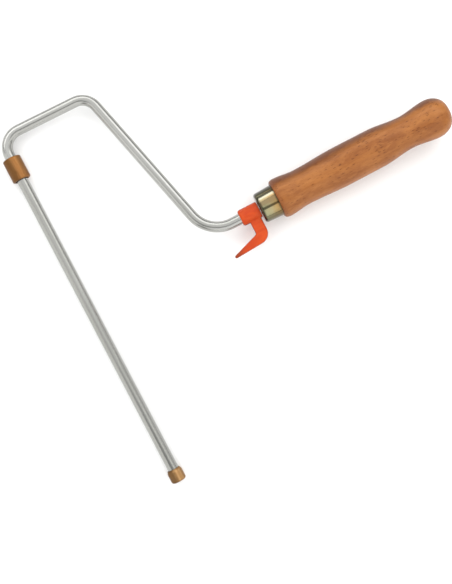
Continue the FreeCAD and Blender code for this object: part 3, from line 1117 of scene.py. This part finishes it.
def handleProfile():
    s = handleSizes
    steps = s["steps"]
    low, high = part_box("handle")
    shoulder = high.x - s["length"]
    stations = [Vector((shoulder + along * mm, radius * mm)) for along, radius in s["stations"]]
    rim = Vector((high.x - s["buttCrown"], s["buttFlat"]))
    pole = Vector((high.x, 0.0))
    profile = curveBetween(stations[0], stations[1], Vector(s["leaveShoulder"]) * mm,
                           Vector(s["reachShoulder"]) * mm, steps["shoulder"])
    for a, b in zip(stations[1:], stations[2:]):
        level = Vector((b.x - a.x, 0))
        profile += curveBetween(a, b, level, level, steps["body"])
    fromKnob = Vector(((rim.x - stations[-1].x) * s["knobPull"], 0))
    profile += curveBetween(stations[-1], rim, fromKnob, Vector(s["reachRim"]) * mm, steps["knob"])
    profile += curveBetween(rim, pole, Vector(s["leaveRim"]) * mm,
                            Vector(s["reachPole"]) * mm, steps["butt"])
    profile.append(pole)
    front = low.x + s["tenonGap"]
    length, depth = s["tenonChamfer"]
    tenon = [Vector((front, 0.0)), Vector((front, s["tenon"] - length)),
             Vector((front + length, s["tenon"] - depth)), Vector((shoulder, s["tenon"]))]
    return profile + tenon


def makeHandle(material):
    s = handleSizes

    def handTurned(along, angle):                                          # a few hundredths out of round
        return 1 - s["outOfRound"] * (1 + math.sin(2 * angle + along * s["twist"]))

    axis = Vector((0, handleY, planeZ))
    handle = latheRound("turnedHandle", handleProfile(), "X", axis, s["segments"], handTurned)
    sharpEdges(handle, 50)
    finishPiece(handle, "frame", ["handle"], material)


makeHandle(varnishedBeech())


# floor, lights and camera
studio = {
    "turn": math.radians(-27.6),       # turn of the view about the vertical
    "lookAt": Vector((-51.6 * mm, -35.9 * mm)),
    "distance": 720 * mm,
    "lens": 61.6,
    "sensor": 36,
    "seenFrom": 0.01,
    "seenTo": 20,
    "floorSize": 6.0,
    "floorTone": (0.89, 0.89, 0.885),
    "floorDust": (0.905, 0.905, 0.90),
    "floorSquares": 8,
    "floorGap": 0.15 * mm,             # under the lowest points of the frame
    "airTone": (1.0, 1.0, 1.0),
    "airGlow": 0.38,
    "boxDistance": 1.3,
}

softboxes = {
    # lean from straight up towards +X and +Y in degrees, width and height in metres, glow
    "roof": (4, 16, 2.0, 1.14, 0.94),
    "farBox": (-6, 55, 2.2, 0.66, 2.30),
    "cornerBox": (45, 26, 0.8, 0.70, 1.80),
    "nearBox": (0, -56, 2.2, 1.50, 1.27),
    "rightBox": (66, -10, 1.0, 0.70, 0.72),
    "sideBox": (34, -16, 0.42, 0.70, 1.08),
    "leftBox": (-62, 0, 1.2, 1.10, 1.20),
    "fill": (1, 1, 2.4, 2.4, 0.34, False),      # kept out of the reflections
}


def paleFloor():
    look = newMaterial("paleFloor")
    cloud = noise(look, objectPlace(look, (14, 14, 14)), 3, 0.5)
    fine = noise(look, objectPlace(look, (900, 900, 900)), 2, 0.5)
    base = blend(look, fade(look, cloud, 0.3, 0.7), studio["floorTone"], studio["floorDust"])
    rough = fade(look, fine, 0.3, 0.7, 0.85, 0.95, False)
    setShader(look, Base_Color=base, Roughness=rough, Specular_IOR_Level=0.1)
    return look


def makeFloor():
    # the frame rests on the handle's shoulder and on both bushes, so the floor tilts to meet all three
    handleLow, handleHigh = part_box("handle")
    shoulderX = handleHigh.x - handleSizes["length"] + handleSizes["stations"][1][0] * mm
    a = Vector((spindleX, middleOf("inner_bush").y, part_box("inner_bush")[0].z))
    b = Vector((spindleX, middleOf("tip_bush").y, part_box("tip_bush")[0].z))
    c = Vector((shoulderX, handleY, handleLow.z))
    normal = (b - a).cross(c - a).normalized()
    if normal.z < 0:
        normal.negate()
    half, squares = studio["floorSize"] / 2, studio["floorSquares"]
    across = Vector((0, 1, 0)).cross(normal).normalized()
    along = normal.cross(across)
    centre = (a + b + c) / 3 - normal * studio["floorGap"]
    verts, faces = [], []
    for i in range(squares + 1):
        for j in range(squares + 1):
            toSide, ahead = 2 * i / squares - 1, 2 * j / squares - 1
            verts.append(centre + across * half * toSide + along * half * ahead)
    for i in range(squares):
        for j in range(squares):
            k = i * (squares + 1) + j
            faces.append((k, k + squares + 1, k + squares + 2, k + 1))
    floor = newPiece("floor", verts, faces, False)
    floor.data.materials.append(paleFloor())


def softbox(name, leanX, leanY, width, height, glow, inGloss=True):
    aim = Vector((studio["lookAt"].x, studio["lookAt"].y, planeZ))
    towards = Vector((math.sin(math.radians(leanX)), math.sin(math.radians(leanY)),
                      math.cos(math.radians(max(abs(leanX), abs(leanY))))))
    lamp = bpy.data.lights.new(name, "AREA")
    lamp.shape = "RECTANGLE"
    lamp.size, lamp.size_y = width, height
    lamp.energy = glow * math.pi * width * height
    box = bpy.data.objects.new(name, lamp)
    box.location = aim + towards.normalized() * studio["boxDistance"]
    box.rotation_euler = (-towards).to_track_quat("-Z", "Y").to_euler()
    box.visible_camera = False
    box.visible_glossy = inGloss
    bpy.context.scene.collection.objects.link(box)


def makeStudio():
    makeFloor()
    for name, values in softboxes.items():
        softbox(name, *values)
    world = bpy.data.worlds.new("studioAir")
    world.use_nodes = True
    air = world.node_tree.nodes["Background"]
    air.inputs[0].default_value = (*studio["airTone"], 1)
    air.inputs[1].default_value = studio["airGlow"]
    scene = bpy.context.scene
    scene.world = world
    scene.view_settings.view_transform = "Standard"
    lens = bpy.data.cameras.new("camera")
    lens.lens = studio["lens"]
    lens.sensor_width = studio["sensor"]
    lens.clip_start = studio["seenFrom"]
    lens.clip_end = studio["seenTo"]
    camera = bpy.data.objects.new("camera", lens)
    camera.location = Vector((studio["lookAt"].x, studio["lookAt"].y, planeZ + studio["distance"]))
    camera.rotation_euler = (0, 0, studio["turn"])
    scene.collection.objects.link(camera)
    scene.camera = camera
    print("studio ready")


makeStudio()
